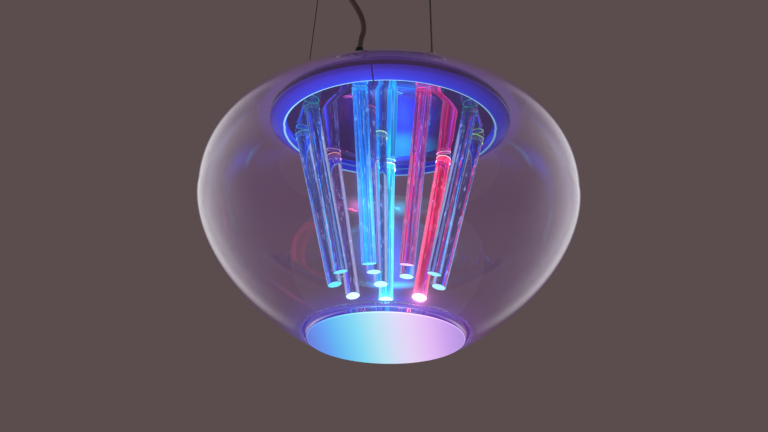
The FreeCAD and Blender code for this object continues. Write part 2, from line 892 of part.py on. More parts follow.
def power_cord():
    """Round cord swept along its path, with its volume checked against section times length."""
    path = cord_path()
    ring = Part.makeCircle(cord_diameter / 2, path.Vertexes[0].Point, axis_up)
    tube = path.makePipeShell([Part.Wire(ring)], True, False)
    expected = math.pi * cord_diameter ** 2 / 4 * path.Length
    print("cord length %.1f, volume ratio %.4f" % (path.Length, tube.Volume / expected))
    return tube


directions = rod_lines()
places = gripper_places()
entry = Vector(cord_points[-1][0], cord_points[-1][1], -canopy_depth)
outlet = Vector(cord_points[0][0], cord_points[0][1], lip + cover_flat_height)

cover = top_cover().cut(cylinder(relief_root, outlet - axis_up * cover_thickness, axis_up, cover_thickness))

save("glass_globe", glass_globe())
save("diffuser_disc", diffuser_disc())
save("disc_seal", disc_seal())
save("retaining_ring", retaining_ring())
save("glass_gasket", glass_gasket())
save("reflector_dish", reflector_dish(directions))
save("light_base", light_base(directions))
save("top_cover", cover)
save("cover_screws", cover_screws())
for number, direction in enumerate(directions, 1):
    save("light_rod_%02d" % number, light_rod(direction))
    save("rod_collar_%02d" % number, rod_collar(direction))
save("led_chips", led_discs(directions, chip_radius, chip_thickness, 0.0))
save("led_stars", led_discs(directions, star_radius, star_thickness, chip_thickness))
for k in range(wire_count):
    save("suspension_wire_%d" % (k + 1), suspension_wire(k))
    save("wire_anchor_%d" % (k + 1), wire_anchor(k))
    save("gripper_barrel_%d" % (k + 1), gripper_barrel(places[k]))
    save("gripper_plunger_%d" % (k + 1), gripper_plunger(places[k]))
    save("gripper_spring_%d" % (k + 1), gripper_spring(places[k]))
save("canopy_cup", canopy_cup(places, entry))
save("ceiling_bracket", ceiling_bracket(places))
save("led_driver", led_driver())
save("terminal_block", terminal_block())
save("earth_terminal", earth_terminal())
save("cord_relief", cord_relief(outlet))
save("cord_grommet", cord_grommet(entry))
save("cord_clamp", cord_clamp())
save("power_cord", power_cord())
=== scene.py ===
"""Looks for the pendant lamp: a clear globe round twelve glowing light rods under a polished dish.

Metres, +Z up, origin at the centre of the ceiling bracket's top face. Heights of the lamp body are counted
from the lip, the lowest edge of the metal ring.
"""

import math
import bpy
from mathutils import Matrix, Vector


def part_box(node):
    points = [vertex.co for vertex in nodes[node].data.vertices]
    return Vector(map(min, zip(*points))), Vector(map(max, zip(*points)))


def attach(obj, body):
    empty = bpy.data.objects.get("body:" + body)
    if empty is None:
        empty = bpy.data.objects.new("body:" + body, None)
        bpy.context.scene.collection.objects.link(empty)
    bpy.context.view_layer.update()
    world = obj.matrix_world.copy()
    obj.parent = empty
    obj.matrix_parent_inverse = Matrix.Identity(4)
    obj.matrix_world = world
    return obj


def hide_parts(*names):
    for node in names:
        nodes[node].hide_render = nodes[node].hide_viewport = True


bl_info = {
    "name": "Light rod pendant",
    "version": (1, 0, 0),
    "blender": (4, 5, 0),
    "location": "View3D > Sidebar > Lamp",
    "description": "Dresses the packed pendant lamp with glass, light rods, wires and a cord",
    "category": "Object",
}

import bmesh
import bpy
import numpy as np
from bpy.props import FloatProperty, FloatVectorProperty, IntProperty, PointerProperty
from mathutils import Matrix, Vector

MM = 0.001
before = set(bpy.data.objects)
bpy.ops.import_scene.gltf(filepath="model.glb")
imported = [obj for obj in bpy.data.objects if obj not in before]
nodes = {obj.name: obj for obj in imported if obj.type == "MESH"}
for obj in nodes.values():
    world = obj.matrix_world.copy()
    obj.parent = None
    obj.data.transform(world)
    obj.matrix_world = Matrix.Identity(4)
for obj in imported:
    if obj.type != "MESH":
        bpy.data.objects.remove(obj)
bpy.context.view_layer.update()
globe_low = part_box("glass_globe")[0]
disc_low, disc_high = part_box("diffuser_disc")
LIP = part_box("retaining_ring")[0].z

# settings for meshes
MERGE_DISTANCE = 1e-7
SHARP_ANGLE = math.radians(35)
ROUNDING_POINTS = 5
LONGEST_ROUNDING = 0.45
ROD_SEGMENTS = 48
FLOOR_SEGMENTS = 64

# glass globe: each half is a superellipse with its own height and power, and a rolled neck follows
GLOBE_EQUATOR = -0.0843
UPPER_HEIGHT, UPPER_POWER = 0.1321, 2.36
LOWER_HEIGHT, LOWER_POWER = 0.1720, 1.69
GLOBE_OPENING = 0.0806
GLOBE_SHOULDER = 0.1409
NECK_ROLL = 0.015
NECK_END = math.radians(30)

# metal ring, with its split at the front
RING_SPLIT = math.radians(-99)
RING_GAP = 0.0005
RING_MIDDLE = 0.120
RING_INNER = 0.1109

# polished dish
DISH_RADIUS = 0.500
DISH_WALL = 0.0015
DISH_BACK_APEX = 0.0200
DISH_SLOPE = math.radians(9.0)
DISH_REACH = 0.1115
BRIM_BLEND = 0.090
BRIM_HEIGHT = 0.0070

# rods lie on lines from one focus below the lamp
ROD_FOCUS = LIP - 0.405
ROD_BOTTOM = 0.2383
ROD_LENGTH = 0.180
ROD_TOP = ROD_BOTTOM + ROD_LENGTH

# number of rods, their tops' distance from the axis and the first one's angle, for each circle of rods
ROD_CIRCLES = ((9, 0.0952, -109.5), (3, 0.0356, -11.9))

# suspension wires, which lean inwards
WIRE_COUNT = 3
WIRE_FIRST_ANGLE = 56.5
WIRE_LEAN = math.radians(4.5)
WIRE_RADIUS = 0.0922
WIRE_FOOT = 0.050
WIRE_TOP = -0.031

# body, edge, end and collar colour of each rod in turn, each followed by its strength
ROD_LIGHT = [
    ((0.000, 0.19, 0.72), 0.95, (0.00, 0.50, 0.95), 0.90, (0.10, 0.90, 1.00), 1.0, (0.02, 0.60, 0.85), 1.0),
    ((0.30, 0.05, 0.33), 0.50, (0.55, 0.02, 0.16), 0.55, (1.00, 0.55, 0.95), 1.0, (1.00, 0.02, 0.08), 1.1),
    ((0.02, 0.05, 0.16), 0.30, (0.01, 0.10, 0.40), 0.35, (0.15, 0.90, 0.95), 0.9, (0.00, 0.28, 0.13), 0.7),
    ((0.05, 0.05, 0.16), 0.25, (0.06, 0.12, 0.45), 0.35, (0.30, 0.95, 0.95), 0.9, (0.40, 0.75, 0.20), 0.9),
    ((0.75, 0.02, 0.12), 0.90, (0.80, 0.015, 0.16), 0.80, (1.00, 0.30, 0.62), 14.0, (1.00, 0.55, 0.55), 1.6),
    ((0.00, 0.62, 0.92), 0.95, (0.00, 0.74, 1.00), 1.05, (0.15, 0.85, 1.00), 40.0, (0.70, 1.00, 1.00), 2.2),
    ((0.10, 0.05, 0.20), 0.28, (0.08, 0.10, 0.42), 0.40, (0.60, 0.90, 1.00), 1.2, (0.95, 0.36, 0.36), 1.0),
    ((0.01, 0.08, 0.34), 0.40, (0.00, 0.20, 0.60), 0.55, (0.05, 0.85, 0.95), 0.9, (0.05, 0.50, 0.80), 0.9),
    ((0.02, 0.07, 0.20), 0.32, (0.01, 0.16, 0.48), 0.45, (0.10, 0.85, 0.95), 0.9, (0.00, 0.38, 0.22), 0.7),
    ((0.04, 0.10, 0.42), 0.35, (0.08, 0.22, 0.70), 0.45, (0.40, 0.95, 1.00), 1.1, (0.05, 0.45, 0.80), 0.4),
    ((0.01, 0.10, 0.30), 0.40, (0.02, 0.30, 0.80), 0.60, (0.45, 1.00, 1.00), 1.1, (0.55, 0.90, 0.45), 0.9),
    ((0.04, 0.08, 0.30), 0.35, (0.05, 0.10, 0.42), 0.40, (0.40, 0.95, 1.00), 1.0, (0.80, 0.20, 0.40), 0.4),
]

# pools of light on the far side of the glass and on the dish: centre, with its height from the lip, the
# reach along each axis and the colour
GLASS_POOLS = [
    ((0.000, 0.197, -0.058), (0.052, 0.04, 0.062), (0.014, 0.030, 0.36)),
    ((0.006, 0.197, -0.085), (0.040, 0.03, 0.036), (0.0, 0.040, 0.60)),
    ((0.014, 0.185, -0.012), (0.017, 0.04, 0.010), (0.0, 0.20, 0.36)),
    ((-0.037, 0.182, -0.012), (0.015, 0.04, 0.009), (0.28, 0.05, 0.20)),
    ((0.008, 0.195, -0.102), (0.042, 0.03, 0.007), (0.0, 0.30, 0.50)),
    ((0.004, 0.185, -0.132), (0.050, 0.04, 0.024), (0.015, 0.015, 0.30)),
]
DISH_POOLS = [
    ((0.017, -0.005, 0.0), (0.018, 0.095, 1.0), (0.0, 0.01, 0.30)),
    ((0.020, -0.086, 0.0), (0.040, 0.020, 1.0), (0.0, 0.10, 0.42)),
    ((0.036, -0.060, 0.0), (0.018, 0.045, 1.0), (0.08, 0.0, 0.03)),
    ((-0.012, -0.070, 0.0), (0.020, 0.040, 1.0), (0.0, 0.02, 0.12)),
]

# painted light on the disc, by colour from its left edge, 0, to its right edge, 1
OPAL_LIGHT_COLOURS = [
    (0.00, (0.13, 0.20, 0.74)),
    (0.11, (0.12, 0.35, 0.98)),
    (0.20, (0.12, 0.53, 0.98)),
    (0.33, (0.22, 0.75, 0.99)),
    (0.45, (0.47, 0.83, 0.98)),
    (0.55, (0.71, 0.78, 1.00)),
    (0.64, (0.84, 0.70, 1.00)),
    (0.77, (0.82, 0.53, 0.99)),
    (0.89, (0.62, 0.37, 0.90)),
    (1.00, (0.48, 0.30, 0.78)),
]

# the cord's control points, the same as the part's: millimetres, with heights from the lip
CORD_POINTS = [
    (-34.1, -45.0, 47.0),
    (-34.1, -45.0, 82.0),
    (-29.6, -44.5, 95.0),
    (-31.4, -43.0, 110.0),
    (-37.2, -41.0, 124.0),
    (-43.6, -36.0, 137.5),
    (-50.0, -27.5, 151.0),
    (-54.6, -17.5, 165.0),
    (-56.0, -10.0, 181.0),
    (-56.0, -10.0, 240.0),
]


class LampSizes(bpy.types.PropertyGroup):
    """Sizes of the lamp's visible pieces."""
    globe_radius: FloatProperty(
        name="Globe radius", description="Largest radius of the glass", default=0.2, unit="LENGTH",
    )
    globe_wall: FloatProperty(
        name="Glass thickness", description="Wall of the globe", default=0.003, unit="LENGTH",
    )
    rod_diameter: FloatProperty(
        name="Rod diameter", description="Clear light rods", default=0.015, unit="LENGTH",
    )
    wire_diameter: FloatProperty(
        name="Wire diameter", description="Suspension wires", default=0.0012, unit="LENGTH",
    )
    cord_diameter: FloatProperty(
        name="Cord diameter", description="Power cord", default=0.0062, unit="LENGTH",
    )
    segments: IntProperty(
        name="Segments", description="Facets round the large turned pieces", default=192, min=32,
    )


class LampColours(bpy.types.PropertyGroup):
    """Colours of the lamp's finishes and lights."""
    glass: FloatVectorProperty(
        name="Glass", description="Tint of the globe", subtype="COLOR", default=(0.95, 0.93, 0.97),
    )
    ring: FloatVectorProperty(
        name="Ring", description="Light on the metal ring", subtype="COLOR", default=(0.025, 0.045, 0.62),
    )
    dish: FloatVectorProperty(
        name="Dish", description="Tint of the polished dish", subtype="COLOR", default=(0.50, 0.58, 0.85),
    )
    cord: FloatVectorProperty(
        name="Cord", description="Cord sheath", subtype="COLOR", default=(0.15, 0.085, 0.085),
    )
    backdrop: FloatVectorProperty(
        name="Backdrop", description="Room behind the lamp", subtype="COLOR", default=(0.104, 0.074, 0.074),
    )


class StageSettings(bpy.types.PropertyGroup):
    """Camera and light."""
    pitch: FloatProperty(
        name="Camera pitch", description="Upward look", default=math.radians(23.487), subtype="ANGLE",
    )
    roll: FloatProperty(
        name="Camera roll", description="Lean of the frame", default=math.radians(1.2), subtype="ANGLE",
    )
    lens: FloatProperty(name="Lens", description="Focal length in mm", default=71.37)
    softbox: FloatProperty(
        name="Softbox strength", description="Share of the front light's full power", default=1.0,
    )


def lamp():
    """The sizes that the panel shows."""
    return bpy.context.scene.lamp_sizes


def tints():
    """The colours that the panel shows."""
    return bpy.context.scene.lamp_colours


# meshes

def rounded(outline, radius):
    """Outline with each inner corner replaced by a quadratic curve that starts and ends a radius from it."""
    points = np.array(outline, float)
    t = np.linspace(0, 1, ROUNDING_POINTS)[:, None]
    out = [points[:1]]
    for before, corner, after in zip(points, points[1:], points[2:]):
        start, end = (
            corner + side * min(radius / np.linalg.norm(side), LONGEST_ROUNDING)
            for side in (before - corner, after - corner)
        )
        out.append((1 - t) ** 2 * start + 2 * t * (1 - t) * corner + t ** 2 * end)
    out.append(points[-1:])
    return np.concatenate(out)


def link_to_scene(name, data):
    """New object for a mesh, curve, light or camera, in the scene."""
    thing = bpy.data.objects.new(name, data)
    bpy.context.scene.collection.objects.link(thing)
    return thing


def surface(name, points, close_rows=False, slots=None):
    """Closed mesh from a grid of points: columns join round, rows join end to end where close_rows is set.

    UV runs 0 to 1 round the columns and 0 to 1 along the rows. slots gives a material index for each row.
    """
    rows, columns = points.shape[:2]
    last = rows if close_rows else rows - 1
    row, column = np.indices((last, columns)).reshape(2, -1)
    next_row, next_column = (row + 1) % rows, (column + 1) % columns
    corners = ((row, column), (row, next_column), (next_row, next_column), (next_row, column))
    faces = np.stack([at_row * columns + at_column for at_row, at_column in corners], axis=1)
    mesh = bpy.data.meshes.new(name)
    mesh.from_pydata(points.reshape(-1, 3).tolist(), [], faces.tolist())
    left, right, low, high = column / columns, (column + 1) / columns, row / last, (row + 1) / last
    uv = np.stack([left, low, right, low, right, high, left, high], axis=1)
    mesh.uv_layers.new(name="UVMap").data.foreach_set("uv", uv.ravel().astype(np.float32))
    if slots is not None:
        mesh.polygons.foreach_set("material_index", np.array(slots)[row].astype(np.int32))
    work = bmesh.new()
    work.from_mesh(mesh)
    bmesh.ops.remove_doubles(work, verts=work.verts, dist=MERGE_DISTANCE)
    bmesh.ops.recalc_face_normals(work, faces=work.faces)
    work.to_mesh(mesh)
    work.free()
    mesh.polygons.foreach_set("use_smooth", np.ones(len(mesh.polygons), bool))
    mesh.set_sharp_from_angle(angle=SHARP_ANGLE)
    return link_to_scene(name, mesh)


def swept(profile, angles):
    """Grid of points of a profile (radius, height) carried to each angle about the upright axis."""
    profile = np.array(profile, float)
    x = profile[:, :1] * np.cos(angles)
    y = profile[:, :1] * np.sin(angles)
    z = np.repeat(profile[:, 1:], len(angles), axis=1)
    return np.stack([x, y, z], axis=2)


def turn(profile, segments):
    """Grid of points of a profile (radius, height) turned all the way round the upright axis."""
    return swept(profile, np.linspace(0, 2 * math.pi, segments, endpoint=False))


def tilt(points, start, direction):
    """Points of a piece built along +Z, moved to start and turned to lie along direction."""
    across = np.cross((0.0, 1.0, 0.0), direction)
    across /= np.linalg.norm(across)
    beside = np.cross(direction, across)
    return points @ np.array([across, beside, direction]) + start


def thick_line(name, thickness, roundness):
    """New round 3-D curve of a given thickness, with closed ends and no spline yet."""
    line = bpy.data.curves.new(name, "CURVE")
    line.dimensions = "3D"
    line.bevel_depth = thickness / 2
    line.bevel_resolution = roundness
    line.use_fill_caps = True
    return line


def place(piece, body, slot, materials, *stands_for):
    """Gives a piece its materials and its body, and hides the CAD nodes that it stands for. The slot is not
    used.
    """
    for material in materials:
        piece.data.materials.append(material)
    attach(piece, body)
    if stands_for:
        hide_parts(*stands_for)
    return piece


def dress(material, *names):
    """Gives CAD nodes one material."""
    for name in names:
        mesh = nodes[name].data
        mesh.materials.clear()
        mesh.materials.append(material)


# nodes of a material or of the world

def feed(owner, socket, value):
    """Gives a socket its value: another node's output, a colour, a vector or a number."""
    if isinstance(value, bpy.types.NodeSocket):
        owner.node_tree.links.new(value, socket)
    elif socket.type == "RGBA":
        socket.default_value = (*value, 1.0)
    else:
        socket.default_value = value


def add(owner, kind, **values):
    """New node, where each value goes to the input of its name, or else to the node's setting."""
    node = owner.node_tree.nodes.new(kind)
    for key, value in values.items():
        name = key.replace("_", " ")
        if name in node.inputs:
            feed(owner, node.inputs[name], value)
        else:
            setattr(node, key, value)
    return node


def number_of(owner, operation, *terms):
    """Output of a Math node on one or two numbers."""
    node = add(owner, "ShaderNodeMath", operation=operation)
    for socket, term in zip(node.inputs, terms):
        feed(owner, socket, term)
    return node.outputs["Value"]


def vector_of(owner, operation, *terms):
    """Output of a Vector Math node: a number for a length or a dot product, or else a vector."""
    node = add(owner, "ShaderNodeVectorMath", operation=operation)
    for socket, term in zip(node.inputs, terms):
        feed(owner, socket, term)
    return node.outputs["Value" if operation in ("LENGTH", "DOT_PRODUCT") else "Vector"]


def coordinates(owner, kind="Object"):
    """Output of one kind of texture coordinates."""
    return add(owner, "ShaderNodeTexCoord").outputs[kind]


def axes(owner, vector):
    """Outputs for a vector's three numbers."""
    return add(owner, "ShaderNodeSeparateXYZ", Vector=vector).outputs


def mapped(owner, vector, **values):
    """Output of a Mapping node."""
    return add(owner, "ShaderNodeMapping", Vector=vector, **values).outputs["Vector"]


def noise_of(owner, vector, scale, detail):
    """Output of a noise texture."""
    return add(owner, "ShaderNodeTexNoise", Vector=vector, Scale=scale, Detail=detail).outputs["Fac"]


def ranged(owner, value, given, wanted=(0.0, 1.0), smooth=False):
    """Output that runs over the wanted pair of numbers while value runs over the given pair."""
    node = add(
        owner, "ShaderNodeMapRange", interpolation_type="SMOOTHSTEP" if smooth else "LINEAR", Value=value,
        From_Min=given[0], From_Max=given[1], To_Min=wanted[0], To_Max=wanted[1],
    )
    return node.outputs["Result"]


def blend(owner, factor, first, second, **settings):
    """Output of a Mix node between two colours, or between two numbers where data_type is FLOAT."""
    settings.setdefault("data_type", "RGBA")
    return add(owner, "ShaderNodeMix", **settings, Factor=factor, A=first, B=second).outputs["Result"]


def ramp_of(owner, factor, stops):
    """Output of a colour ramp with the given positions and colours."""
    node = add(owner, "ShaderNodeValToRGB", Fac=factor)
    elements = node.color_ramp.elements
    first, last = elements
    first.position, first.color = stops[0][0], (*stops[0][1], 1.0)
    last.position, last.color = stops[-1][0], (*stops[-1][1], 1.0)
    for position, colour in stops[1:-1]:
        elements.new(position).color = (*colour, 1.0)
    return node.outputs["Color"]


def radius_from_axis(owner, given, wanted):
    """Output that runs over the wanted pair while the distance from the lamp's axis runs over the given."""
    flat = vector_of(owner, "MULTIPLY", coordinates(owner), (1.0, 1.0, 0.0))
    return ranged(owner, vector_of(owner, "LENGTH", flat), given, wanted, smooth=True)


def pools(owner, under, rows):
    """Adds an oval pool of light for each row to a colour. Heights in the rows count from the lip."""
    for (x, y, height), reach, colour in rows:
        away = vector_of(owner, "SUBTRACT", coordinates(owner), (x, y, LIP + height))
        scaled = vector_of(owner, "MULTIPLY", away, tuple(1 / size for size in reach))
        fade = ranged(owner, vector_of(owner, "LENGTH", scaled), (0.0, 1.0), (1.0, 0.0), smooth=True)
        under = blend(owner, fade, under, colour, blend_type="ADD")
    return under


# materials

def shader_of(material):
    """The material's Principled node."""
    return material.node_tree.nodes["Principled BSDF"]


def finish(name, **values):
    """New Principled material with constant values on the shader's own sockets."""
    material = bpy.data.materials.new(name)
    material.use_nodes = True
    for key, value in values.items():
        feed(material, shader_of(material).inputs[key.replace("_", " ")], value)
    return material


def shine(material, colour, strength=1.0):
    """Makes a material give light of a colour and strength."""
    feed(material, shader_of(material).inputs["Emission Color"], colour)
    feed(material, shader_of(material).inputs["Emission Strength"], strength)


def grain(material, scale, low, high, stretch=(1.0, 1.0, 1.0)):
    """Makes a material's roughness vary with noise between low and high, and returns the noise."""
    noise = noise_of(material, mapped(material, coordinates(material), Scale=stretch), scale, detail=3.0)
    feed(material, shader_of(material).inputs["Roughness"], ranged(material, noise, (0.0, 1.0), (low, high)))
    return noise


def relief(material, noise, strength, distance):
    """Gives a material bump from a noise."""
    bump = add(material, "ShaderNodeBump", Strength=strength, Distance=distance, Height=noise)
    feed(material, shader_of(material).inputs["Normal"], bump.outputs["Normal"])


def glow(name, colour, strength, **values):
    """Material that gives light of one colour, a little uneven."""
    material = finish(name, **values)
    cloud = noise_of(material, coordinates(material), scale=220.0, detail=2.0)
    spread = (0.85 * strength, 1.15 * strength)
    shine(material, colour, ranged(material, cloud, (0.0, 1.0), spread))
    return material


def clear_glass():
    """Globe glass with a faint violet haze of painted light, a lit neck and foot, and pools of light on its
    far side.
    """
    neck = (LIP + 0.013, LIP + 0.027)
    foot = (globe_low.z, globe_low.z + 0.022)
    neck_colour = (0.022, 0.014, 0.14)
    painted_haze_colours = [(0.3, (0.0055, 0.0010, 0.0085)), (0.7, (0.0085, 0.0022, 0.0160))]
    foot_colours = [(0.0, (0.004, 0.006, 0.07)), (0.55, (0.006, 0.008, 0.16)), (1.0, (0.020, 0.003, 0.04))]
    glass = finish(
        "globe glass", Base_Color=tuple(tints().glass), Roughness=0.0, Transmission_Weight=1.0, IOR=1.47,
    )
    where = coordinates(glass)
    across, _, height = axes(glass, where)
    # painted light: a faint violet haze that the glass gives off all over, then painted glows at the neck
    # and foot
    light = ramp_of(glass, noise_of(glass, where, scale=6.0, detail=1.0), painted_haze_colours)
    light = blend(glass, ranged(glass, height, neck, smooth=True), light, neck_colour, blend_type="ADD")
    foot_light = ramp_of(glass, ranged(glass, across, (-0.08, 0.08)), foot_colours)
    near_foot = ranged(glass, height, foot, (1.0, 0.0), smooth=True)
    light = blend(glass, near_foot, light, foot_light, blend_type="ADD")
    shine(glass, pools(glass, light, GLASS_POOLS))
    return glass


def rod_body(number, colour, strength, edge, edge_strength):
    """Clear acrylic with coloured light in long streaks and along its outline, and short pale painted
    highlights.
    """
    dim, palest, painted_highlight_share, painted_highlight_strength = 0.42, 0.85, 0.8, 0.85
    clearness = 0.45 if strength < dim else 0.20
    tint = tuple(clearness + (palest - clearness) * c / max(edge) for c in edge)
    pale = tuple(0.45 + 0.55 * c / max(edge) for c in edge)
    rod = finish(
        "rod %02d light" % number, Base_Color=tint, Roughness=0.02, Transmission_Weight=1.0, IOR=1.38,
        Specular_IOR_Level=0.12,
    )
    uv = coordinates(rod, "UV")
    long = mapped(rod, uv, Scale=(9.0, 0.8, 1.0), Location=(number * 1.7, number * 0.3, 0.0))
    short = mapped(rod, uv, Scale=(17.0, 7.0, 1.0), Location=(number * 0.9, number * 1.3, 0.0))
    streaks = noise_of(rod, long, scale=2.5, detail=3.0)
    streaks = ranged(rod, streaks, (0.50, 0.68), (0.28 * strength, 2.0 * strength))
    # painted highlights: short pale flecks of near-white light scattered over the rod
    painted_highlights = noise_of(rod, short, scale=2.5, detail=2.0)
    painted_highlights = ranged(rod, painted_highlights, (0.62, 0.72), (0.0, painted_highlight_share))
    facing = add(rod, "ShaderNodeLayerWeight", Blend=0.35).outputs["Facing"]
    outline = ranged(rod, facing, (0.45, 0.95))
    light = blend(rod, painted_highlights, blend(rod, outline, colour, edge), pale)
    level = blend(rod, outline, streaks, edge_strength, data_type="FLOAT")
    shine(rod, light, blend(rod, painted_highlights, level, painted_highlight_strength, data_type="FLOAT"))
    return rod


def opal():
    """Opal acrylic lit from above: blue at the left, white in the middle, pink and lilac at the right."""
    acrylic = finish("opal acrylic", Base_Color=(0.20, 0.20, 0.25), Roughness=0.35)
    where = coordinates(acrylic)
    turned = mapped(acrylic, where, Location=(0.5, 0.5, 0.0), Scale=(6.2, 6.2, 1.0), Rotation=(0, 0, 0.09))
    # painted light: the disc's rim glows brighter than its middle
    bright_rim = radius_from_axis(acrylic, (0.0785, 0.0796), (0.90, 1.25))
    shine(acrylic, ramp_of(acrylic, axes(acrylic, turned)[0], OPAL_LIGHT_COLOURS), bright_rim)
    return acrylic


def ring_metal():
    """Metal with painted blue light and a pale painted highlight line, brightest at the front left, dark at
    the split.
    """
    # colours of the painted light on the ring: blue, and a pale painted highlight near the inner edge
    blue, pale = (0.03, 0.06, 0.80), (0.35, 0.80, 1.0)
    outwards = [
        (0.0, blue), (0.007, blue), (0.015, pale), (0.06, pale), (0.09, (0.03, 0.06, 0.70)),
        (0.2, tuple(tints().ring)), (0.8, (0.03, 0.025, 0.45)), (1.0, (0.02, 0.012, 0.20)),
    ]
    # the steel's blue base colour also stands in for the blue light on it: painted light
    metal = finish("ring metal", Base_Color=(0.035, 0.04, 0.22), Metallic=1.0, Roughness=0.22)
    where = coordinates(metal)
    x, y, _ = axes(metal, where)
    # painted light, brightest at the front left; none is painted at the split
    front = ranged(metal, y, (-0.13, 0.13), (1.5, 0.45))
    left = ranged(metal, x, (-0.02, 0.12), (1.0, 0.5))
    off_split = vector_of(metal, "DOT_PRODUCT", where, (-math.sin(RING_SPLIT), math.cos(RING_SPLIT), 0.0))
    off_split = number_of(metal, "MAXIMUM", number_of(metal, "ABSOLUTE", off_split), y)
    whole = ranged(metal, off_split, (0.0004, 0.0010))
    strength = number_of(metal, "MULTIPLY", number_of(metal, "MULTIPLY", front, left), whole)
    radius = radius_from_axis(metal, (RING_INNER, 0.1290), (0.0, 1.0))
    shine(metal, ramp_of(metal, radius, outwards), strength)
    noise = grain(metal, scale=90.0, low=0.16, high=0.3, stretch=(1.0, 1.0, 20.0))
    relief(metal, noise, strength=0.05, distance=0.0005)
    return metal


def dish_polish():
    """Near mirror with a faint blue cloud of painted light and pools of light from the rods."""
    polish = finish("dish polish", Base_Color=tuple(tints().dish), Metallic=1.0, Roughness=0.03)
    grain(polish, scale=60.0, low=0.015, high=0.05)
    # painted light: a faint blue cloud of glow over the polished dish
    cloud = noise_of(polish, coordinates(polish), scale=14.0, detail=1.0)
    cloud_light = ramp_of(polish, cloud, [(0.3, (0.004, 0.002, 0.015)), (0.7, (0.002, 0.004, 0.05))])
    shine(polish, pools(polish, cloud_light, DISH_POOLS))
    return polish


def collar_clear(number, colour, strength):
    """Clear collar with a little of its rod's light."""
    tint = tuple(0.75 + 0.25 * c for c in colour)
    return glow(
        "collar %02d light" % number, colour, 0.02 * strength, Base_Color=tint, Roughness=0.02,
        Transmission_Weight=1.0, IOR=1.12, Specular_IOR_Level=0.3,
    )


# profiles

def globe_profile(inset):
    """Globe wall from the lower opening to the shoulder, moved in by inset, in metres from the lip.

    In each half, (distance from the axis / radius) and (height from the equator / half's height), both to
    the half's power, add up to 1.
    """
    radius = lamp().globe_radius
    low = GLOBE_EQUATOR - LOWER_HEIGHT * (1 - (GLOBE_OPENING / radius) ** LOWER_POWER) ** (1 / LOWER_POWER)
    high = GLOBE_EQUATOR + UPPER_HEIGHT * (1 - (GLOBE_SHOULDER / radius) ** UPPER_POWER) ** (1 / UPPER_POWER)
    points, crowding = 60, 1.3
    height = np.concatenate([
        GLOBE_EQUATOR + (low - GLOBE_EQUATOR) * np.linspace(1, 0, points)[:-1] ** crowding,
        GLOBE_EQUATOR + (high - GLOBE_EQUATOR) * np.linspace(0, 1, points) ** crowding,
    ])
    above = height >= GLOBE_EQUATOR
    reach, power = np.where(above, UPPER_HEIGHT, LOWER_HEIGHT), np.where(above, UPPER_POWER, LOWER_POWER)
    part = np.abs(height - GLOBE_EQUATOR) / reach
    across = radius * (1 - part ** power) ** (1 / power)
    slope_across = (across / radius) ** (power - 1) / radius
    slope_up = np.where(above, 1, -1) * part ** (power - 1) / reach
    size = np.hypot(slope_across, slope_up)
    return np.stack([across - inset * slope_across / size, height - inset * slope_up / size], axis=1)


def globe_section():
    """Closed section of the globe: outer wall, rolled neck, its round end, inner wall and ground lower edge.

    The neck is two arcs about one centre, a wall apart, that go on from the shoulder's slope.
    """
    neck_points, cap_points = 24, 9
    wall = lamp().globe_wall
    outer, inner = globe_profile(0.0), globe_profile(wall)
    across, rise = outer[-1] - outer[-2]
    lean = math.atan2(rise, -across)
    centre = outer[-1] - NECK_ROLL * np.array([math.sin(lean), math.cos(lean)])
    angle = np.linspace(lean, -NECK_END, neck_points)
    outwards = np.stack([np.sin(angle), np.cos(angle)], axis=1)
    top = centre + NECK_ROLL * outwards
    back = centre + (NECK_ROLL - wall) * outwards[::-1]
    end = outwards[-1]
    onwards = np.array([-end[1], end[0]])
    around = np.linspace(0, math.pi, cap_points)[1:-1, None]
    cap_centre = centre + (NECK_ROLL - wall / 2) * end
    cap = cap_centre + wall / 2 * (np.cos(around) * end + np.sin(around) * onwards)
    lower = inner[inner[:, 0] > outer[0, 0]]
    edge = np.array([[outer[0, 0], lower[0, 1]]])
    return np.concatenate([outer[:-1], top, cap, back, lower[::-1][1:], edge]) + (0, LIP)


def lip_heights(outline):
    """Outline in millimetres from the lip, changed to metres in the part's frame."""
    return np.array(outline, float) * MM + (0, LIP)


def dish_back(count):
    """Points of the dish's back from the axis out, on a sphere with the face's radius plus the wall."""
    radius = DISH_RADIUS + DISH_WALL
    across = np.linspace(0, DISH_REACH, count)
    return np.stack([across, LIP + DISH_BACK_APEX - radius + np.sqrt(radius ** 2 - across ** 2)], axis=1)


def dish_face(count):
    """Points of the dish's front from the axis out: a dome, a blend that curves back and a flat brim."""
    t = np.linspace(0, DISH_SLOPE, count)
    start = (DISH_RADIUS + BRIM_BLEND) * math.sin(DISH_SLOPE)
    apex = BRIM_HEIGHT + (DISH_RADIUS + BRIM_BLEND) * (1 - math.cos(DISH_SLOPE))
    dome = np.stack([DISH_RADIUS * np.sin(t), apex - DISH_RADIUS * (1 - np.cos(t))], axis=1)
    t = t[::-1][1:]
    reverse = np.stack([start - BRIM_BLEND * np.sin(t), BRIM_HEIGHT + BRIM_BLEND * (1 - np.cos(t))], axis=1)
    brim_points = 8
    brim = np.linspace((start, BRIM_HEIGHT), (DISH_REACH, BRIM_HEIGHT), brim_points)[1:]
    return np.concatenate([dome, reverse, brim]) + (0, LIP)


def rod_lines():
    """Direction of each rod from the common focus, outer rods first."""
    lines = []
    for count, radius, start in ROD_CIRCLES:
        lean = math.asin(radius / ROD_TOP)
        for k in range(count):
            angle = math.radians(start + 360 / count * k)
            outwards = math.sin(lean) * np.array([math.cos(angle), math.sin(angle), 0.0])
            lines.append(outwards + (0.0, 0.0, math.cos(lean)))
    return lines


